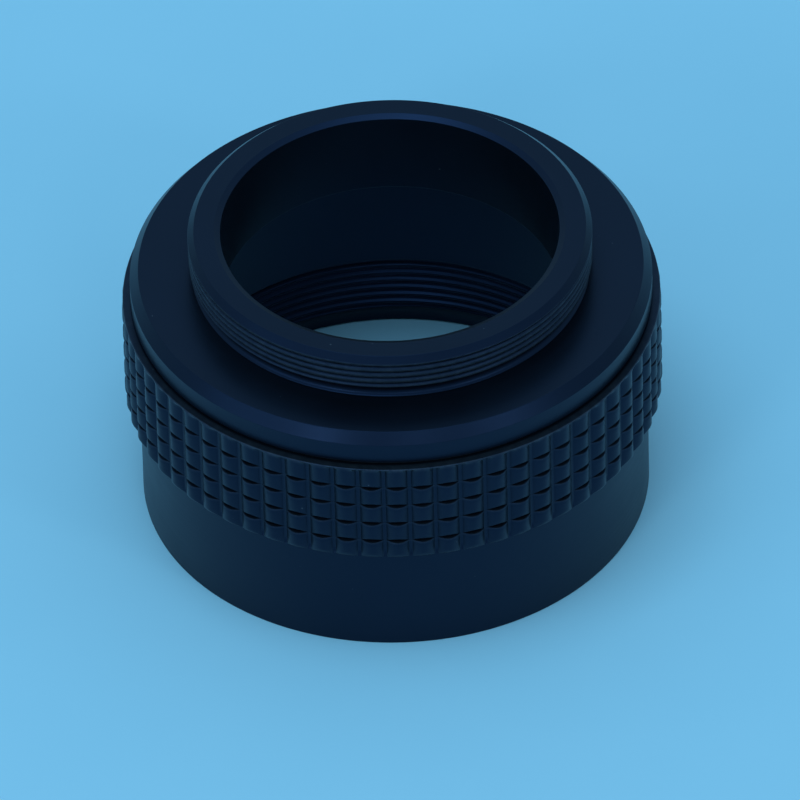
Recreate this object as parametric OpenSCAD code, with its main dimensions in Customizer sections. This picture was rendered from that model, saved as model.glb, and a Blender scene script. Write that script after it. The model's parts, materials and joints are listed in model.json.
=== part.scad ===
// Swivelling T-thread camera adapter: the open, glassless top ring of a Barlow.
// A male T-thread flange turns inside a knurled collar that screws on the Barlow body.
// Units are millimetres, +Z points to the camera, the origin is the centre of the base.

/* [Camera thread] */
// Major diameter of the male camera thread
t_thread_d = 42; // [41:0.5:43]
// Pitch of the camera thread
t_pitch = 0.75; // [0.5:0.05:0.8]
// Height of the neck above the shoulder
neck_h = 5.2; // [4.6:0.1:7]
// Grooves of the camera thread, counted down from the top of the neck
t_grooves = 4; // [2:1:4]
// Diameter of the clear bore that the light passes through
clear_bore_d = 35.2; // [32:0.2:36]

/* [Shoulder] */
// Outer diameter of the shoulder wall
shoulder_d = 54.3; // [53.5:0.1:55.5]
// Height of the shoulder, chamfer included
shoulder_h = 3.45; // [2.8:0.05:5]
// Radial width of the shoulder's outer chamfer
shoulder_chamfer_w = 0.9; // [0.4:0.1:1.4]
// Height of the shoulder's outer chamfer
shoulder_chamfer_h = 1.15; // [0.4:0.05:1.8]

/* [Grip] */
// Diameter over the knurl tips
grip_d = 56.1; // [55.6:0.1:58]
// Depth of the upright knurl grooves
knurl_depth = 0.5; // [0.4:0.05:0.8]
// Depth of the knurl grooves that run round the collar
row_groove_depth = 0.45; // [0.2:0.05:0.5]
// Rows of knurl teeth along the axis
grip_rows = 5; // [3:1:5]
// Knurl teeth around the collar
grip_columns = 65; // [40:1:65]
// Axial pitch of the knurl rows
grip_row_pitch = 2.4; // [2.2:0.05:2.6]
// Extra height of the top row of teeth
top_row_extra = 0.3; // [0:0.05:0.5]

/* [Skirt] */
// Outer diameter of the plain skirt
skirt_d = 53; // [52.4:0.1:54]
// Height of the plain skirt below the grip
skirt_h = 12.9; // [12:0.1:18]

/* [Body thread] */
// Major diameter of the female thread that takes the Barlow body
body_thread_d = 49; // [48.5:0.5:50]
// Pitch of the female thread
body_pitch = 1; // [0.75:0.05:1]
// Turns of the female thread
body_turns = 7; // [3:1:8]
// Depth of the plain lead-in below the thread
lead_in_h = 2; // [1:0.1:3]

/* [Swivel] */
// Diameter of the spigot that turns in the collar
spigot_d = 44; // [43.6:0.1:44.4]
// Radial running clearance between the spigot and the collar
swivel_clearance = 0.05; // [0.02:0.01:0.09]
// Thickness of the upper glide washer, which sets the gap under the shoulder
upper_washer_t = 0.3; // [0.2:0.05:0.6]
// Thickness of the collar's inner web
web_t = 1.5; // [1.1:0.05:1.6]
// Thickness of the lower glide washer
lower_washer_t = 0.3; // [0.2:0.05:0.4]
// Height of the wave spring as fitted
spring_h = 0.5; // [0.4:0.05:0.7]
// Waves around the spring
spring_waves = 4; // [3:1:6]
// Thickness of the retaining ring
retainer_t = 1.6; // [1.2:0.1:1.8]
// Spanner slots in the retaining ring
retainer_slots = 4; // [2:1:6]

/* [Hidden] */
$fn = 96;
eps = 0.2;                                   // overshoot of a cutting shape
v_flank_tan = tan(30);                       // flank slope of a 60 degree V

// Levels, from the base up
grip_h = grip_rows * grip_row_pitch + top_row_extra;
grip_top_z = skirt_h + grip_h;
shoulder_under_z = grip_top_z + upper_washer_t;
shoulder_z = shoulder_under_z + shoulder_h;
top_z = shoulder_z + neck_h;
web_under_z = grip_top_z - web_t;
spring_top_z = web_under_z - lower_washer_t;
retainer_top_z = spring_top_z - spring_h;
spigot_end_z = retainer_top_z - retainer_t;

// Neck
t_crest_r = t_thread_d / 2;
t_groove_w = 0.5 * t_pitch;                  // the rest of the pitch is left as a flat crest
t_depth = 0.38 * t_pitch;
neck_chamfer_w = 0.65;
neck_chamfer_h = 0.65;
bore_r = clear_bore_d / 2;
bore_chamfer_w = 0.65;
bore_chamfer_h = 0.35;
first_groove_z = top_z - neck_chamfer_h - t_pitch / 2;
relief_arc_r = 0.8;
relief_depth = 0.7;
relief_mid_r = t_crest_r - relief_depth + relief_arc_r;
relief_rise = 0.7;                           // height of the arc's centre over the shoulder
relief_mid_z = shoulder_z + relief_rise;
seat_step = 0.05;                            // the relief dips under the seat, so a ring sits flat
seat_clear = 0.1;

// Shoulder and spigot
wall_r = shoulder_d / 2;
flat_r = wall_r - shoulder_chamfer_w;
spigot_r = spigot_d / 2;
spigot_tip_w = 0.5;                          // radial width of the spigot's end face
cone_top_drop = 0.9;                         // the bore widens from this far under the shoulder
bore_end_z = shoulder_under_z - cone_top_drop;
mouth_r = spigot_r - spigot_tip_w;

// Light seal: a cord ring in a square groove, level with the collar's web
cord_r = 0.38;
cord_z = web_under_z + web_t / 2;
seal_groove_h = 0.8;
seal_groove_depth = 0.75;
seal_groove_r = spigot_r - seal_groove_depth;
seal_play = 0.01;
seal_mid_r = spigot_r + swivel_clearance - seal_play - cord_r;

// Collar
web_bore_r = spigot_r + swivel_clearance;
tip_r = grip_d / 2;
root_r = tip_r - knurl_depth;
column_groove_floor = 0.5;                   // width of a vertical groove's floor
column_flank = 0.6;                          // sideways run of its flanks, per unit of depth
skirt_r = skirt_d / 2;
edge_break = 0.3;
b_major_r = body_thread_d / 2;
b_groove_w = 0.75 * body_pitch;
b_depth = 0.5413 * body_pitch;
b_crest_r = b_major_r - b_depth;
lead_in_gap = 0.1;
lead_in_r = b_major_r + lead_in_gap;
lead_in_cone_h = 0.35;
thread_start_z = lead_in_h + lead_in_cone_h;
thread_end_z = thread_start_z + body_turns * body_pitch;
chamber_step = 0.35;
chamber_r = b_crest_r - chamber_step;

// Washers, spring and retaining ring
ring_gap = 0.15;                             // running gap round the spigot
ring_in_r = spigot_r + ring_gap;
washer_inset = 0.3;
upper_washer_r = wall_r - washer_inset;
chamber_gap = 0.2;
ring_out_r = chamber_r - chamber_gap;
spring_strip_t = 0.15;
spring_edge_gap = 0.1;
steps_per_wave = 24;
slot_w = 1.6;
slot_depth = 0.7;
slot_wall = 0.6;                             // ring left between a slot and the spigot

// A flat ring between two radii, from z up by t
module flat_ring(in_r, out_r, z, t) {
    rotate_extrude() translate([in_r, z]) square([out_r - in_r, t]);
}

// V groove in section, open at radius mouth and closed at radius floor_at
module v_groove(mouth, floor_at, z, mouth_w) {
    depth = abs(mouth - floor_at);
    floor_w = mouth_w - 2 * depth * v_flank_tan;
    lip = mouth + sign(mouth - floor_at) * eps;
    lip_w = mouth_w + 2 * eps * v_flank_tan;
    translate([0, z]) polygon([
        [lip, -lip_w / 2], [lip, lip_w / 2],
        [floor_at, floor_w / 2], [floor_at, -floor_w / 2]
    ]);
}

// Thread relief at the foot of the neck, in section: an arc that ends just under the seat
module relief_section() {
    foot_z = shoulder_z - seat_step;
    intersection() {
        translate([relief_mid_r, relief_mid_z]) circle(r = relief_arc_r);
        translate([0, foot_z]) square([t_crest_r + seat_clear, 2 * relief_arc_r]);
    }
    translate([t_crest_r - seat_clear, foot_z]) square([2 * seat_clear, 2 * seat_step]);
}

module flange_section() {
    difference() {
        polygon([
            [bore_r, bore_end_z],
            [bore_r, top_z - bore_chamfer_h],
            [bore_r + bore_chamfer_w, top_z],
            [t_crest_r - neck_chamfer_w, top_z],
            [t_crest_r, top_z - neck_chamfer_h],
            [t_crest_r, shoulder_z],
            [flat_r, shoulder_z],
            [wall_r, shoulder_z - shoulder_chamfer_h],
            [wall_r, shoulder_under_z],
            [spigot_r, shoulder_under_z],
            [spigot_r, spigot_end_z],
            [mouth_r, spigot_end_z]
        ]);
        for (i = [0 : t_grooves - 1])
            v_groove(t_crest_r, t_crest_r - t_depth, first_groove_z - i * t_pitch, t_groove_w);
        relief_section();
        translate([seal_groove_r, cord_z - seal_groove_h / 2]) square([1, seal_groove_h]);
    }
}

// Neck, shoulder and spigot, turned in one piece; the thread is drawn as rings
module t_thread_flange() {
    color([0.09, 0.10, 0.12]) rotate_extrude() flange_section();
}

// Corner points of one V groove round the grip, from its lower edge up
function row_groove(z) = [
    [tip_r, z - row_groove_depth * v_flank_tan],
    [tip_r - row_groove_depth, z],
    [tip_r, z + row_groove_depth * v_flank_tan]
];

// Outside of the collar in section, from the base up to the top of the grip
function collar_outside() = [
    [web_bore_r, 0], [skirt_r - edge_break, 0], [skirt_r, edge_break], [skirt_r, skirt_h],
    [root_r, skirt_h], [tip_r, skirt_h + knurl_depth],
    for (row = [1 : grip_rows - 1]) each row_groove(skirt_h + row * grip_row_pitch),
    [tip_r, grip_top_z], [web_bore_r, grip_top_z]
];

// Inside of the collar in section: mouth, lead-in, thread crest, chamber
function collar_inside() = [
    [0, -eps], [lead_in_r + edge_break + eps, -eps], [lead_in_r, edge_break],
    [lead_in_r, lead_in_h], [b_crest_r, thread_start_z], [b_crest_r, thread_end_z],
    [chamber_r, thread_end_z], [chamber_r, web_under_z], [0, web_under_z]
];

module collar_section() {
    difference() {
        polygon(collar_outside());
        polygon(collar_inside());
        for (i = [1 : body_turns - 1])
            v_groove(b_crest_r, b_major_r, thread_start_z + i * body_pitch, b_groove_w);
    }
}

// Vertical grooves that part the grip rows into square teeth
module grip_column_cut() {
    floor_half = column_groove_floor / 2;
    mouth_half = floor_half + column_flank * (knurl_depth + eps);
    linear_extrude(grip_h + 2 * eps) polygon([
        [root_r, -floor_half], [tip_r + eps, -mouth_half],
        [tip_r + eps, mouth_half], [root_r, floor_half]
    ]);
}

// Knurled grip, skirt, female thread and inner web, turned in one piece
module coupling_collar() {
    color([0.08, 0.09, 0.11]) difference() {
        rotate_extrude() collar_section();
        for (i = [0 : grip_columns - 1])
            rotate(-90 + (i + 0.5) * 360 / grip_columns)
                translate([0, 0, skirt_h - eps]) grip_column_cut();
    }
}

// Slippery washer between the shoulder and the collar
module upper_glide_washer() {
    color([0.16, 0.16, 0.17]) flat_ring(ring_in_r, upper_washer_r, grip_top_z, upper_washer_t);
}

// Rubber cord that keeps dust and stray light out of the swivel gap
module light_seal_ring() {
    color([0.05, 0.05, 0.05]) rotate_extrude() translate([seal_mid_r, cord_z]) circle(r = cord_r, $fn = 48);
}

// Slippery washer between the collar's web and the wave spring
module lower_glide_washer() {
    color([0.85, 0.85, 0.82]) flat_ring(ring_in_r, ring_out_r, spring_top_z, lower_washer_t);
}

// Steel strip bent into waves, pushing the collar up against the upper washer
module wave_spring() {
    steps = spring_waves * steps_per_wave;
    in_r = ring_in_r + spring_edge_gap;
    out_r = ring_out_r - spring_edge_gap;
    rise = (spring_h - spring_strip_t) / 2;
    function level(i) = retainer_top_z + rise * (1 - cos(spring_waves * i * 360 / steps));
    function corner(r, z, i) = [r * cos(i * 360 / steps), r * sin(i * 360 / steps), z];
    points = [for (i = [0 : steps - 1]) each [
        corner(in_r, level(i), i), corner(out_r, level(i), i),
        corner(out_r, level(i) + spring_strip_t, i), corner(in_r, level(i) + spring_strip_t, i)
    ]];
    faces = [for (i = [0 : steps - 1]) for (k = [0 : 3])
        let (next = (i + 1) % steps, k2 = (k + 1) % 4)
        each [[i * 4 + k, i * 4 + k2, next * 4 + k2], [i * 4 + k, next * 4 + k2, next * 4 + k]]
    ];
    color([0.62, 0.62, 0.60]) polyhedron(points, faces);
}

// Ring screwed on the spigot from below; it holds the collar and the spring on
module retaining_ring() {
    color([0.10, 0.10, 0.11]) difference() {
        flat_ring(spigot_r, ring_out_r, spigot_end_z, retainer_t);
        for (i = [0 : retainer_slots - 1]) rotate(i * 360 / retainer_slots)
            translate([spigot_r + slot_wall, -slot_w / 2, spigot_end_z - eps])
                cube([ring_out_r, slot_w, slot_depth + eps]);
    }
}

coupling_collar();
t_thread_flange();
upper_glide_washer();
light_seal_ring();
lower_glide_washer();
wave_spring();
retaining_ring();
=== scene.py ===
"""Looks of the T-thread camera adapter ring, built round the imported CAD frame.

Every piece is a turned part, so one mesh builder does them all: a section round the
optical axis, sampled at many angles. Threads and knurl bend that section with the angle.
Sizes are in millimetres until skin() turns them into metres.
"""
import json
import math

import bpy
import numpy as np
from mathutils import Matrix, Vector


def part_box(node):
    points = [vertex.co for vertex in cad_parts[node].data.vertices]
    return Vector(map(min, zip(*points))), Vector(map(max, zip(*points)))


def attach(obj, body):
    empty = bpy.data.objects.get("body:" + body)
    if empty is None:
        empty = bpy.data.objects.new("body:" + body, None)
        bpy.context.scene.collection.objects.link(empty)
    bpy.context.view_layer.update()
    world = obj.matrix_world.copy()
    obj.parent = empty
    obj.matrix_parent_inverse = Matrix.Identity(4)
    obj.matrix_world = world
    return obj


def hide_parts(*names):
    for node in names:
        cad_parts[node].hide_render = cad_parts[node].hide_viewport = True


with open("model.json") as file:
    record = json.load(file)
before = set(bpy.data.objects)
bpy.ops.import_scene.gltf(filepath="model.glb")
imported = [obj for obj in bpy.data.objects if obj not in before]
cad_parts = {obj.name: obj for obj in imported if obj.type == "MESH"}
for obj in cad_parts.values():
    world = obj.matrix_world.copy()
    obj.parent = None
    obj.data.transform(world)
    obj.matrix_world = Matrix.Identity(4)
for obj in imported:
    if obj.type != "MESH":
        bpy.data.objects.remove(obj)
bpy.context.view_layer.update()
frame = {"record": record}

MM = 0.001
TURN = 2 * math.pi


# ---------------------------------------------------------------- sizes from the frame
def node_levels(node):
    """(lowest z, highest z, outer radius) of a CAD node, in millimetres."""
    low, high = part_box(node)
    return low.z / MM, high.z / MM, max(high.x, high.y, -low.x, -low.y) / MM


def mount_radius(name):
    """The radius in millimetres that the record states for a mount."""
    return next(m for m in frame["record"]["mounts"] if m["name"] == name)["dims"]["r_mm"]


spigot_end_z, top_z, wall_r = node_levels("t_thread_flange")
_, grip_top_z, tip_r = node_levels("coupling_collar")
washer_z, shoulder_under_z, washer_r = node_levels("upper_glide_washer")
lower_washer_z, web_under_z, ring_out_r = node_levels("lower_glide_washer")
spring_z, spring_top_z, _ = node_levels("wave_spring")
retainer_z, retainer_top_z, retainer_r = node_levels("retaining_ring")
seal_z, seal_top_z, seal_r = node_levels("light_seal_ring")

# Neck
crest_r = mount_radius("camera_t_thread")
t_pitch = 0.75
t_depth = 0.30
t_first_drop = 1.08
t_thread_wear = 0.8
neck_chamfer_w, neck_chamfer_h = 0.65, 0.65
relief_arc_r = 0.8
bore_r = 17.6
bore_chamfer_w, bore_chamfer_h = 0.65, 0.3

# Shoulder and spigot
neck_h = 5.2
shoulder_z = top_z - neck_h
shoulder_chamfer_w, shoulder_chamfer_h = 0.9, 1.15
spigot_r = 22.0
bore_end_drop = 0.9
bore_end_z = shoulder_under_z - bore_end_drop
mouth_r = spigot_r - 0.5
seal_groove_r = spigot_r - 0.75

# Collar
grip_rows, grip_columns, row_pitch = 5, 65, 2.4
knurl_depth = 0.57
row_groove_depth = 0.62
roof_slope, ledge_slope = 46, 4  # degrees from level
ledge_drop = 0.14
floor_w = 0.36
foot_step, dome_power = 0.02, 2.0
band_z = 12.9
root_r = tip_r - knurl_depth
skirt_r = 26.5
web_bore_r = spigot_r + 0.05
thread_crest_r = mount_radius("body_thread")
b_pitch = 1.0
b_depth = 0.541
b_turns = 7
b_groove_half = 0.42
lead_in_r = thread_crest_r + b_depth + 0.1
chamber_r = thread_crest_r - 0.35
lead_in_z = 2.0
thread_start_z = lead_in_z + 0.35
thread_end_z = thread_start_z + b_turns * b_pitch
ring_in_r = spigot_r + 0.15


# ---------------------------------------------------------------- section tools
def rounded(corners, closed=False, steps=5, guard=0.02):
    """A path through (r, z, fillet) corners with true arcs.

    A guard point beside each arc keeps the smooth shading of the flats flat.
    """
    straight = 1e-3
    path = []
    count = len(corners)
    for i, (r, z, fillet) in enumerate(corners):
        here = np.array([r, z])
        if not closed and i in (0, count - 1):
            path.append(here)
            continue
        before = np.array(corners[i - 1][:2]) - here
        after = np.array(corners[(i + 1) % count][:2]) - here
        len_before, len_after = np.linalg.norm(before), np.linalg.norm(after)
        before, after = before / len_before, after / len_after
        angle = math.acos(max(-1.0, min(1.0, float(before @ after))))
        if fillet == 0 or math.pi - angle < straight:
            path.append(here)
            continue
        reach = min(fillet / math.tan(angle / 2), 0.45 * len_before, 0.45 * len_after)
        radius = reach * math.tan(angle / 2)
        middle = before + after
        centre = here + middle / np.linalg.norm(middle) * radius / math.sin(angle / 2)
        start, end = here + before * reach, here + after * reach
        path.append(start + before * min(guard, 0.5 * (len_before - reach)))
        for k in range(steps + 1):
            blend = k / steps
            a, b = start - centre, end - centre
            sweep = math.pi - angle
            point = (math.sin((1 - blend) * sweep) * a + math.sin(blend * sweep) * b) / math.sin(sweep)
            path.append(centre + point)
        path.append(end + after * min(guard, 0.5 * (len_after - reach)))
    return np.array(path)


def constant(path, angles):
    """A plain turned stretch: the same radius and height at every angle."""
    return np.repeat(path[:, :1], len(angles), 1), np.repeat(path[:, 1:], len(angles), 1)


def skin(name, stretches, angles, material, body, node):
    """A closed ring mesh from stretches of (radius, height) arrays, riding on a CAD body."""
    radius = np.concatenate([s[0] for s in stretches])
    height = np.concatenate([s[1] for s in stretches])
    rows, cols = radius.shape
    points = np.stack([radius * np.cos(angles), radius * np.sin(angles), height], -1) * MM
    row, col = np.meshgrid(np.arange(rows), np.arange(cols), indexing="ij")
    next_row, next_col = (row + 1) % rows, (col + 1) % cols
    quads = np.stack([
        row * cols + col, row * cols + next_col,
        next_row * cols + next_col, next_row * cols + col,
    ], -1).reshape(-1, 4)
    section_area = float(np.sum(radius[:, 0] * np.roll(height[:, 0], -1)
                                - np.roll(radius[:, 0], -1) * height[:, 0]))
    if section_area < 0:
        quads = quads[:, ::-1]
    mesh = bpy.data.meshes.new(name)
    mesh.from_pydata(points.reshape(-1, 3).tolist(), [], quads.tolist())
    mesh.polygons.foreach_set("use_smooth", np.ones(len(quads), bool))
    mesh.materials.append(material)
    mesh.update()
    piece = bpy.data.objects.new(name, mesh)
    bpy.context.scene.collection.objects.link(piece)
    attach(piece, body)
    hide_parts(node)
    return piece


def add_wear(piece, values):
    """Stores how exposed each point is, 0 to 1, for the material to rub bare."""
    attribute = piece.data.attributes.new("wear", "FLOAT", "POINT")
    attribute.data.foreach_set("value", values.astype(np.float32).ravel())


def even_angles(count):
    return np.arange(count) * TURN / count


def smooth_step(x, low, high):
    t = np.clip((x - low) / (high - low), 0, 1)
    return t * t * (3 - 2 * t)


def thread_groove(phase, half_width):
    """Depth share of a V thread, 1 at the root and 0 on the crest, softly rounded."""
    distance = np.abs((phase + 0.5) % 1.0 - 0.5)
    flank = np.clip((half_width - distance) / (half_width - 0.04), 0, 1)
    return flank ** 0.95 * (1 - 0.05 * smooth_step(flank, 0.8, 1.0))


def rounded_ridges(phase):
    """Depth share of a worn, fine thread: round crests that meet in a sharp root."""
    distance = np.abs((phase + 0.5) % 1.0 - 0.5)
    return (1 - 2 * distance) ** 2.4


# ---------------------------------------------------------------- material tools
class Nodes:
    """A short way to write a node tree."""

    def __init__(self, name):
        self.material = bpy.data.materials.new(name)
        self.material.use_nodes = True
        self.tree = self.material.node_tree
        self.shader = self.tree.nodes["Principled BSDF"]

    def add(self, kind, inputs=None, **settings):
        node = self.tree.nodes.new(kind)
        for key, value in settings.items():
            setattr(node, key, value)
        for key, value in (inputs or {}).items():
            self.put(node.inputs[key], value)
        return node

    def put(self, socket, value):
        if isinstance(value, bpy.types.NodeSocket):
            self.tree.links.new(value, socket)
        else:
            socket.default_value = value

    def math(self, operation, a, b=0.0, clamp=False):
        node = self.add("ShaderNodeMath", operation=operation, use_clamp=clamp)
        self.put(node.inputs[0], a)
        self.put(node.inputs[1], b)
        return node.outputs[0]

    def noise(self, vector, scale, detail=3.0, roughness=0.5):
        node = self.add("ShaderNodeTexNoise", {
            "Vector": vector, "Scale": scale, "Detail": detail, "Roughness": roughness})
        return node.outputs["Fac"]

    def span(self, value, low, high, to_low, to_high):
        node = self.add("ShaderNodeMapRange", {
            "Value": value, "From Min": low, "From Max": high,
            "To Min": to_low, "To Max": to_high})
        return node.outputs["Result"]

    def mix(self, share, a, b):
        node = self.add("ShaderNodeMix", data_type="RGBA")
        self.put(node.inputs["Factor"], share)
        self.put(node.inputs["A"], a)
        self.put(node.inputs["B"], b)
        return node.outputs["Result"]

    def turning_vector(self, ring_scale, round_scale):
        """A texture vector that runs fast across the lathe marks and slowly round the axis."""
        place = self.add("ShaderNodeNewGeometry")
        split = self.add("ShaderNodeSeparateXYZ", {"Vector": place.outputs["Position"]})
        x, y, z = split.outputs
        radius = self.math("SQRT", self.math("ADD", self.math("MULTIPLY", x, x),
                                             self.math("MULTIPLY", y, y)))
        return self.add("ShaderNodeCombineXYZ", {
            "X": self.math("MULTIPLY", radius, ring_scale),
            "Y": self.math("MULTIPLY", z, ring_scale),
            "Z": self.math("MULTIPLY", x, round_scale),
        }).outputs[0]


def anodised(name, colour, roughness, mark_height, wear_gain=0.0, specular=0.42):
    """Satin anodised aluminium: lathe marks, cloudy dye, a fine etch grain and a little dust."""
    n = Nodes(name)
    place = n.add("ShaderNodeNewGeometry").outputs["Position"]
    rings = n.noise(n.turning_vector(9000.0, 120.0), 1.0, 4.0, 0.6)
    coarse_rings = n.noise(n.turning_vector(1400.0, 30.0), 1.0, 3.0)
    cloud = n.noise(place, 90.0, 4.0)
    grain = n.noise(place, 9000.0, 2.0)
    dust = n.span(n.noise(place, 2600.0, 1.0), 0.81, 0.85, 0.0, 0.20)
    bright = tuple(1.9 * c for c in colour[:3]) + (1.0,)
    base = n.mix(n.span(cloud, 0.35, 0.7, 0.0, 0.5), colour, bright)
    worn = n.add("ShaderNodeAttribute", attribute_name="wear").outputs["Fac"]
    patches = n.span(n.noise(place, 1100.0, 4.0, 0.7), 0.35, 0.75, 0.5 * wear_gain, 1.5 * wear_gain)
    scuff = n.math("MULTIPLY", patches, worn)
    base = n.mix(scuff, base, (0.11, 0.12, 0.13, 1.0))
    base = n.mix(dust, base, (0.42, 0.44, 0.46, 1.0))
    n.put(n.shader.inputs["Base Color"], base)
    rough = n.math("ADD", n.span(cloud, 0.3, 0.7, roughness - 0.03, roughness + 0.04),
                   n.span(rings, 0.3, 0.7, -0.03, 0.03))
    n.put(n.shader.inputs["Roughness"], n.math("ADD", rough, n.math("MULTIPLY", dust, 0.8)))
    n.put(n.shader.inputs["Specular IOR Level"], specular)
    n.put(n.shader.inputs["Specular Tint"], (0.30, 0.48, 1.0, 1.0))
    n.put(n.shader.inputs["Anisotropic"], 0.45)
    tangent = n.add("ShaderNodeTangent", direction_type="RADIAL", axis="Z").outputs[0]
    n.put(n.shader.inputs["Tangent"], tangent)
    height = n.math("ADD", n.math("MULTIPLY", rings, 0.6),
                    n.math("ADD", n.math("MULTIPLY", coarse_rings, 0.8), n.math("MULTIPLY", grain, 0.35)))
    bump = n.add("ShaderNodeBump", {"Height": height, "Strength": 1.0, "Distance": mark_height * MM})
    n.put(n.shader.inputs["Normal"], bump.outputs[0])
    return n.material


def polymer(name, colour, roughness, grain_height=0.004):
    """Moulded or cut polymer with a soft mottled surface."""
    n = Nodes(name)
    place = n.add("ShaderNodeNewGeometry").outputs["Position"]
    mottle = n.noise(place, 700.0, 4.0)
    darker = tuple(0.75 * c for c in colour[:3]) + (1.0,)
    n.put(n.shader.inputs["Base Color"], n.mix(mottle, colour, darker))
    n.put(n.shader.inputs["Roughness"], n.span(mottle, 0.3, 0.7, roughness - 0.06, roughness + 0.06))
    bump = n.add("ShaderNodeBump", {
        "Height": n.noise(place, 5000.0, 3.0), "Strength": 1.0, "Distance": grain_height * MM})
    n.put(n.shader.inputs["Normal"], bump.outputs[0])
    return n.material


def rolled_steel(name):
    """Rolled spring strip: bright metal with fine lines along the strip and heat tint."""
    n = Nodes(name)
    place = n.add("ShaderNodeNewGeometry").outputs["Position"]
    lines = n.noise(n.turning_vector(16000.0, 80.0), 1.0, 3.0)
    tint = n.noise(place, 120.0, 2.0)
    n.put(n.shader.inputs["Base Color"], n.mix(tint, (0.46, 0.45, 0.43, 1), (0.60, 0.60, 0.59, 1)))
    n.put(n.shader.inputs["Metallic"], 1.0)
    n.put(n.shader.inputs["Roughness"], n.span(lines, 0.3, 0.7, 0.24, 0.38))
    bump = n.add("ShaderNodeBump", {"Height": lines, "Strength": 1.0, "Distance": 0.002 * MM})
    n.put(n.shader.inputs["Normal"], bump.outputs[0])
    return n.material


BLACK = (0.0026, 0.0036, 0.0052, 1.0)
flange_finish = anodised("flange_anodised", BLACK, 0.34, 0.0035, wear_gain=0.28)
collar_finish = anodised("collar_anodised", BLACK, 0.36, 0.0030, wear_gain=0.28)
ring_finish = anodised("ring_anodised", (0.006, 0.0065, 0.0075, 1.0), 0.45, 0.004)
washer_finish = polymer("washer_black", (0.035, 0.036, 0.04, 1.0), 0.6)
rubber_finish = polymer("seal_rubber", (0.014, 0.014, 0.014, 1.0), 0.5)
ptfe_finish = polymer("washer_white", (0.74, 0.74, 0.71, 1.0), 0.42)
steel_finish = rolled_steel("spring_steel")


# ---------------------------------------------------------------- flange
def build_flange():
    """Neck with the male thread, shoulder and spigot."""
    angles = even_angles(720)
    land_r = crest_r - neck_chamfer_w
    inside = rounded([
        (mouth_r, spigot_end_z + 0.02, 0), (bore_r, bore_end_z, 0.12),
        (bore_r, top_z - bore_chamfer_h, 0.05),
        (bore_r + bore_chamfer_w, top_z, 0.05),
        (land_r, top_z, 0.06), (land_r + 0.05, top_z - 0.05, 0),
    ])
    arc_r, arc_z = crest_r + 0.1, shoulder_z + 0.7
    neck_z = np.linspace(top_z - 0.06, shoulder_z + 0.01, 240)[:, None]
    first_z = top_z - t_first_drop + t_pitch / 4
    phase = (neck_z - first_z - t_pitch * angles[None, :] / TURN) / t_pitch
    fade = 1 - smooth_step(neck_z, top_z - 0.85, top_z - 0.68)
    groove = rounded_ridges(phase) * fade
    radius = crest_r - t_depth * groove
    radius = np.minimum(radius, land_r + (top_z - neck_z) * neck_chamfer_w / neck_chamfer_h)
    from_arc = np.clip(relief_arc_r ** 2 - (neck_z - arc_z) ** 2, 0, None)
    radius = np.where(from_arc > 0, np.minimum(radius, arc_r - np.sqrt(from_arc)), radius)
    foot_r = float(radius[-1, 0])
    outside = rounded([
        (foot_r, shoulder_z, 0), (foot_r + 0.03, shoulder_z, 0.005),
        (wall_r - shoulder_chamfer_w, shoulder_z, 0.07),
        (wall_r, shoulder_z - shoulder_chamfer_h, 0.07),
        (wall_r, shoulder_under_z, 0.08),
        (spigot_r, shoulder_under_z, 0.05),
        (spigot_r, seal_top_z + 0.02, 0.03), (seal_groove_r, seal_top_z + 0.02, 0.03),
        (seal_groove_r, seal_z - 0.02, 0.03), (spigot_r, seal_z - 0.02, 0.03),
        (spigot_r, spigot_end_z, 0.06), (mouth_r + 0.02, spigot_end_z, 0),
    ], steps=8)
    piece = skin("t_thread_flange.visual", [
        constant(inside, angles), (radius, np.repeat(neck_z, len(angles), 1)), constant(outside, angles),
    ], angles, flange_finish, "camera_flange", "t_thread_flange")
    above_relief = smooth_step(neck_z, arc_z + 0.7, arc_z + 0.85)
    below_chamfer = 1 - smooth_step(neck_z, top_z - 0.7, top_z - 0.6)
    add_wear(piece, np.concatenate([
        np.zeros((len(inside), len(angles))),
        t_thread_wear * above_relief * below_chamfer * (1 - np.sqrt(groove)),
        np.zeros((len(outside), len(angles))),
    ]))
    return piece


# ---------------------------------------------------------------- collar
def tooth_crown(column):
    """Radius over the teeth, which are counted with a tooth's middle at every half."""
    column_pitch = TURN * tip_r / grip_columns
    across = np.abs(column % 1.0 - 0.5) * column_pitch / (0.5 * (column_pitch - floor_w))
    step = foot_step * (1 - smooth_step(across, 0.94, 1.0))
    dome = 1 - np.clip(across, 0, 1) ** dome_power
    return root_r + step + (knurl_depth - foot_step) * dome


def edge_arc(start, end, radius):
    """(inset, drop) steps round a tooth's edge, from its face to a flank that leans end degrees."""
    for share in (0, 0.2, 0.4, 0.6, 0.8, 1):
        turn = math.radians(start + (end - start) * share)
        yield radius * (1 - math.cos(turn)), radius * math.sin(turn)


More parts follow.
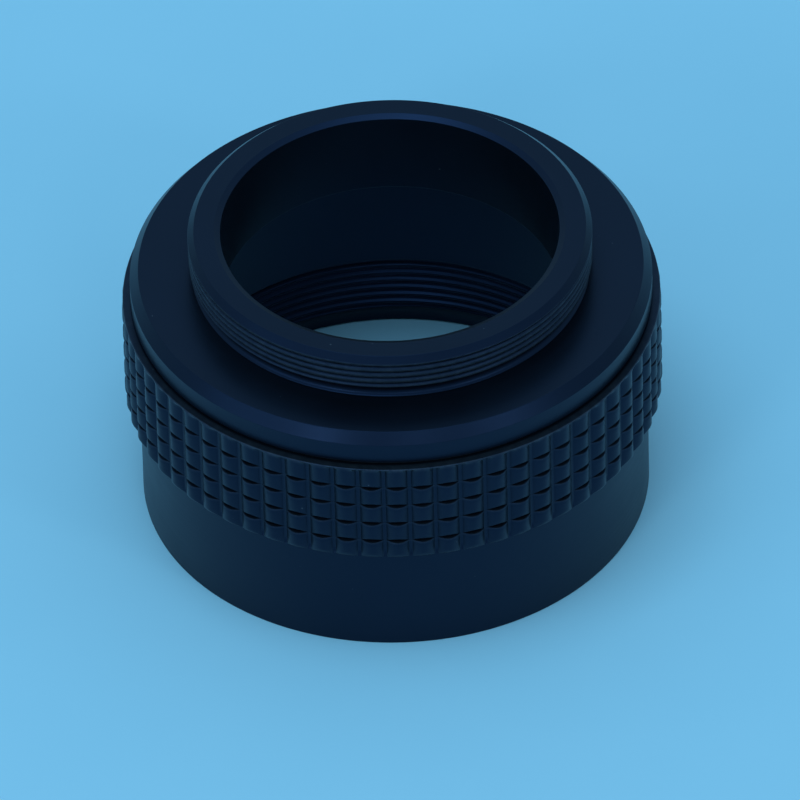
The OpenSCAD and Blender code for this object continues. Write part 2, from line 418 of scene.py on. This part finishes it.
def grip_stretch(columns):
    """Radius, height and wear of the knurled band, from its foot to the collar's top.

    Each groove has a sloping roof, the underside of the tooth above, and a nearly level
    ledge, the top of the tooth below.
    """
    crown = tooth_crown(columns)
    floor = np.minimum(crown, tip_r - row_groove_depth)
    lean = np.minimum(0.06, 0.3 * (crown - floor))
    ledge_r, depth = crown - lean, crown - lean - floor
    roof_tan, ledge_tan = math.tan(math.radians(roof_slope)), math.tan(math.radians(ledge_slope))
    arc_r = np.minimum(0.07, 0.5 * depth)
    radius, height, wear = [], [], []

    def ring(r, z, share=0.0):
        radius.append(r + 0 * columns)
        height.append(z + 0 * columns)
        wear.append(share + 0 * columns)

    foot = crown - root_r
    ring(root_r - 0.02, band_z)
    ring(root_r + 0.75 * foot, band_z + 0.55 * foot)
    ring(root_r + 0.94 * foot, band_z + 0.9 * foot)
    ring(crown, band_z + 1.3 * foot)
    groove_z = [band_z + k * row_pitch - ledge_drop for k in range(1, grip_rows)]
    for z in groove_z:
        for drop in (1.3, 0.9, 0.5):
            ring(crown, z - drop)
        ring(crown - 0.3 * lean, z - 0.3)
        face_z = z - depth * ledge_tan - arc_r
        for inset, rise in edge_arc(0, 90 - ledge_slope, arc_r):
            ring(ledge_r - inset, face_z + rise, 0.35)
        ring(floor + 0.08 * depth, z - 0.08 * depth * ledge_tan)
        ring(floor, z)
        ring(floor + 0.08 * depth, z + 0.08 * depth * roof_tan)
        face_z = z + depth * roof_tan + 0.5 * arc_r
        for inset, rise in reversed(list(edge_arc(0, 90 - roof_slope, arc_r))):
            ring(crown - 0.4 * lean - inset, face_z - rise)
        ring(crown, z + 0.8)
    for z in (groove_z[-1] + 1.3, grip_top_z - 0.7):
        ring(crown, z)
    for below, inset, rim, share in [(0.45, 0.01, 0.1, 0.0), (0.3, 0.03, 0.35, 0.2), (0.18, 0.05, 0.75, 0.5),
                                     (0.08, 0.08, 1.0, 1.0), (0.02, 0.11, 1.0, 1.0), (0.0, 0.15, 1.0, 1.0)]:
        ring(crown + rim * (tip_r - crown) - inset, grip_top_z - below, share)
    ring(tip_r - 0.2, grip_top_z, 0.3)
    ring(wall_r + 0.1, grip_top_z, 0.3)
    return np.array(radius), np.array(height), np.array(wear)


def build_collar():
    """Knurled grip, skirt, female thread and inner web."""
    shares = np.array([0.0, 0.05, 0.073, 0.086, 0.105, 0.15, 0.22, 0.30, 0.40, 0.5,
                       0.60, 0.70, 0.78, 0.85, 0.895, 0.914, 0.927, 0.95])
    columns = (np.arange(grip_columns)[:, None] + shares[None, :]).ravel()
    angles = -TURN / 4 + (columns + 0.5) * TURN / grip_columns
    grip_r, grip_z, grip_wear = grip_stretch(columns)

    below = rounded([
        (lead_in_r + 0.25, 0, 0), (skirt_r, 0, 0.12), (skirt_r, band_z - 0.45, 0.1),
        (root_r - 0.07, band_z - 0.01, 0),
    ])
    above = rounded([
        (wall_r, grip_top_z, 0), (web_bore_r, grip_top_z, 0.05), (web_bore_r, web_under_z, 0.05),
        (chamber_r, web_under_z, 0.2), (chamber_r, thread_end_z + 0.02, 0.08),
        (thread_crest_r, thread_end_z + 0.01, 0),
    ])
    thread_z = np.linspace(thread_end_z, lead_in_z + 0.02, b_turns * 15)[:, None]
    advance = b_pitch * angles[None, :] / TURN
    depth = thread_groove((thread_z - thread_start_z - advance) / b_pitch, b_groove_half)
    run_out = smooth_step(thread_end_z - thread_z, 0.3, 0.6)
    thread_r = thread_crest_r + b_depth * depth * run_out
    lead_edge = lead_in_r - np.clip(thread_z - lead_in_z, 0, None) * 1.6
    thread_r = np.maximum(thread_r, lead_edge)
    mouth = rounded([(lead_in_r, lead_in_z, 0), (lead_in_r, 0.25, 0.05), (lead_in_r + 0.24, 0.01, 0)])
    piece = skin("coupling_collar.visual", [
        constant(below, angles), (grip_r, grip_z), constant(above, angles),
        (thread_r, np.repeat(thread_z, len(angles), 1)), constant(mouth, angles),
    ], angles, collar_finish, "collar", "coupling_collar")
    wear = np.concatenate([
        np.zeros((len(below), len(angles))), grip_wear,
        np.zeros((len(above) + len(thread_z) + len(mouth), len(angles))),
    ])
    add_wear(piece, wear)
    return piece


# ---------------------------------------------------------------- small rings
def ring_section(in_r, out_r, low_z, high_z, fillet):
    return rounded([
        (in_r, low_z, fillet), (in_r, high_z, fillet), (out_r, high_z, fillet), (out_r, low_z, fillet),
    ], closed=True, steps=4)


def build_washers():
    angles = even_angles(240)
    skin("upper_glide_washer.visual",
         [constant(ring_section(ring_in_r, washer_r, washer_z, shoulder_under_z, 0.06), angles)],
         angles, washer_finish, "camera_flange", "upper_glide_washer")
    skin("lower_glide_washer.visual",
         [constant(ring_section(ring_in_r, ring_out_r, lower_washer_z, web_under_z, 0.05), angles)],
         angles, ptfe_finish, "collar", "lower_glide_washer")


def build_seal():
    angles = even_angles(240)
    cord_r = (seal_top_z - seal_z) / 2
    turn = even_angles(28)
    cord = np.stack([seal_r - cord_r + cord_r * np.cos(turn),
                     (seal_z + seal_top_z) / 2 + cord_r * np.sin(turn)], -1)
    skin("light_seal_ring.visual", [constant(cord, angles)], angles, rubber_finish,
         "camera_flange", "light_seal_ring")


def build_spring():
    angles = even_angles(480)
    strip_t, waves, play, side_gap = 0.15, 4, 0.02, 0.1
    swing = (spring_top_z - spring_z - strip_t - play) * 0.5 * (1 - np.cos(waves * angles))
    section = ring_section(ring_in_r + side_gap, ring_out_r - side_gap,
                           spring_z, spring_z + strip_t, 0.05)
    radius, height = constant(section, angles)
    skin("wave_spring.visual", [(radius, height + swing[None, :])], angles, steel_finish,
         "camera_flange", "wave_spring")


def build_retainer():
    """Retaining ring with spanner slots in its lower face."""
    slots, slot_half_w, slot_depth, slot_in_r = 4, 0.8, 0.7, spigot_r + 0.6
    edge = slot_half_w / retainer_r
    local = [-edge - 0.004, -edge - 0.0005, -edge + 0.0005, -edge + 0.004,
             edge - 0.004, edge - 0.0005, edge + 0.0005, edge + 0.004]
    between = np.linspace(edge + 0.02, TURN / slots - edge - 0.02, 70)
    one = np.concatenate([local, between])
    angles = np.concatenate([one + k * TURN / slots for k in range(slots)])
    in_slot = np.abs((angles + TURN / slots / 2) % (TURN / slots) - TURN / slots / 2) < edge
    section = rounded([
        (spigot_r, retainer_z, 0.05), (spigot_r, retainer_top_z, 0.05),
        (retainer_r, retainer_top_z, 0.08), (retainer_r, retainer_z, 0.08),
        (slot_in_r + 0.04, retainer_z, 0.01), (slot_in_r, retainer_z - 0.0001, 0.005),
    ], closed=True, steps=4)
    radius, height = constant(section, angles)
    deep = (radius > slot_in_r + 0.02) & (height < retainer_z + slot_depth) & in_slot[None, :]
    height = np.where(deep, retainer_z + slot_depth, height)
    skin("retaining_ring.visual", [(radius, height)], angles, ring_finish,
         "camera_flange", "retaining_ring")


build_flange()
build_collar()
build_washers()
build_seal()
build_spring()
build_retainer()


# ---------------------------------------------------------------- stage
def build_floor():
    """A plain pale sheet, lightly mottled."""
    half = 3.0
    mesh = bpy.data.meshes.new("floor")
    corners = [(-half, -half, 0), (half, -half, 0), (half, half, 0), (-half, half, 0)]
    mesh.from_pydata(corners, [], [(0, 1, 2, 3)])
    n = Nodes("pale_sheet")
    place = n.add("ShaderNodeNewGeometry").outputs["Position"]
    mottle = n.noise(place, 60.0, 5.0)
    n.put(n.shader.inputs["Base Color"], n.mix(mottle, (0.485, 0.76, 0.84, 1), (0.515, 0.785, 0.86, 1)))
    n.put(n.shader.inputs["Roughness"], 0.85)
    n.put(n.shader.inputs["Specular IOR Level"], 0.2)
    mesh.materials.append(n.material)
    floor = bpy.data.objects.new("floor", mesh)
    bpy.context.scene.collection.objects.link(floor)


def build_light(name, azimuth, elevation, distance, size, power, colour):
    """A soft square light, aimed at the object. Azimuth is from +X towards +Y, in degrees."""
    a, e = math.radians(azimuth), math.radians(elevation)
    direction = Vector((math.cos(a) * math.cos(e), math.sin(a) * math.cos(e), math.sin(e)))
    data = bpy.data.lights.new(name, "AREA")
    data.shape = "SQUARE"
    data.size = size
    data.energy = power
    data.color = colour
    light = bpy.data.objects.new(name, data)
    light.location = direction * distance
    light.rotation_mode = "QUATERNION"
    light.rotation_quaternion = (-direction).to_track_quat("-Z", "Y")
    bpy.context.scene.collection.objects.link(light)


def build_world(colour, low, high):
    """A soft dome of light, brighter towards the zenith."""
    world = bpy.data.worlds.new("studio")
    world.use_nodes = True
    tree = world.node_tree
    background = tree.nodes["Background"]
    background.inputs["Color"].default_value = colour + (1.0,)
    direction = tree.nodes.new("ShaderNodeTexCoord").outputs["Generated"]
    split = tree.nodes.new("ShaderNodeSeparateXYZ")
    tree.links.new(direction, split.inputs[0])
    span = tree.nodes.new("ShaderNodeMapRange")
    tree.links.new(split.outputs["Z"], span.inputs["Value"])
    span.inputs["To Min"].default_value = low
    span.inputs["To Max"].default_value = high
    tree.links.new(span.outputs["Result"], background.inputs["Strength"])
    bpy.context.scene.world = world


def build_camera():
    """A long lens from above the front edge, rolled a little, as a person holds it."""
    elevation, roll, distance = math.radians(41.205), math.radians(-1.51), 2.089
    target = Vector((0.0006, 0, 0.0103))
    back = Vector((0, -math.cos(elevation), math.sin(elevation)))
    right = Vector((1, 0, 0))
    up = back.cross(right)
    rolled_right = right * math.cos(roll) + up * math.sin(roll)
    rolled_up = up * math.cos(roll) - right * math.sin(roll)
    data = bpy.data.cameras.new("camera")
    data.sensor_width = 36
    data.lens = 900
    data.clip_end = 20
    camera = bpy.data.objects.new("camera", data)
    turn = Matrix((rolled_right, rolled_up, back)).transposed()
    camera.matrix_world = Matrix.Translation(target + back * distance) @ turn.to_4x4()
    bpy.context.scene.collection.objects.link(camera)
    bpy.context.scene.camera = camera


SKY = (0.33, 0.68, 1.0)
PALE_SKY = (0.48, 0.78, 1.0)
build_floor()
build_light("overhead", -130, 79, 1.4, 0.8, 5.5, SKY)
build_light("front_left", -155, 26, 1.2, 0.45, 0.9, SKY)
build_light("left", -122, 30, 1.2, 0.20, 1.1, PALE_SKY)
build_light("front", -80, 33, 1.3, 0.2, 0.5, PALE_SKY)
build_light("front_right", -43, 30, 1.2, 0.16, 0.8, PALE_SKY)
build_world(SKY, 0.40, 0.72)
build_camera()
bpy.context.scene.view_settings.view_transform = "Standard"
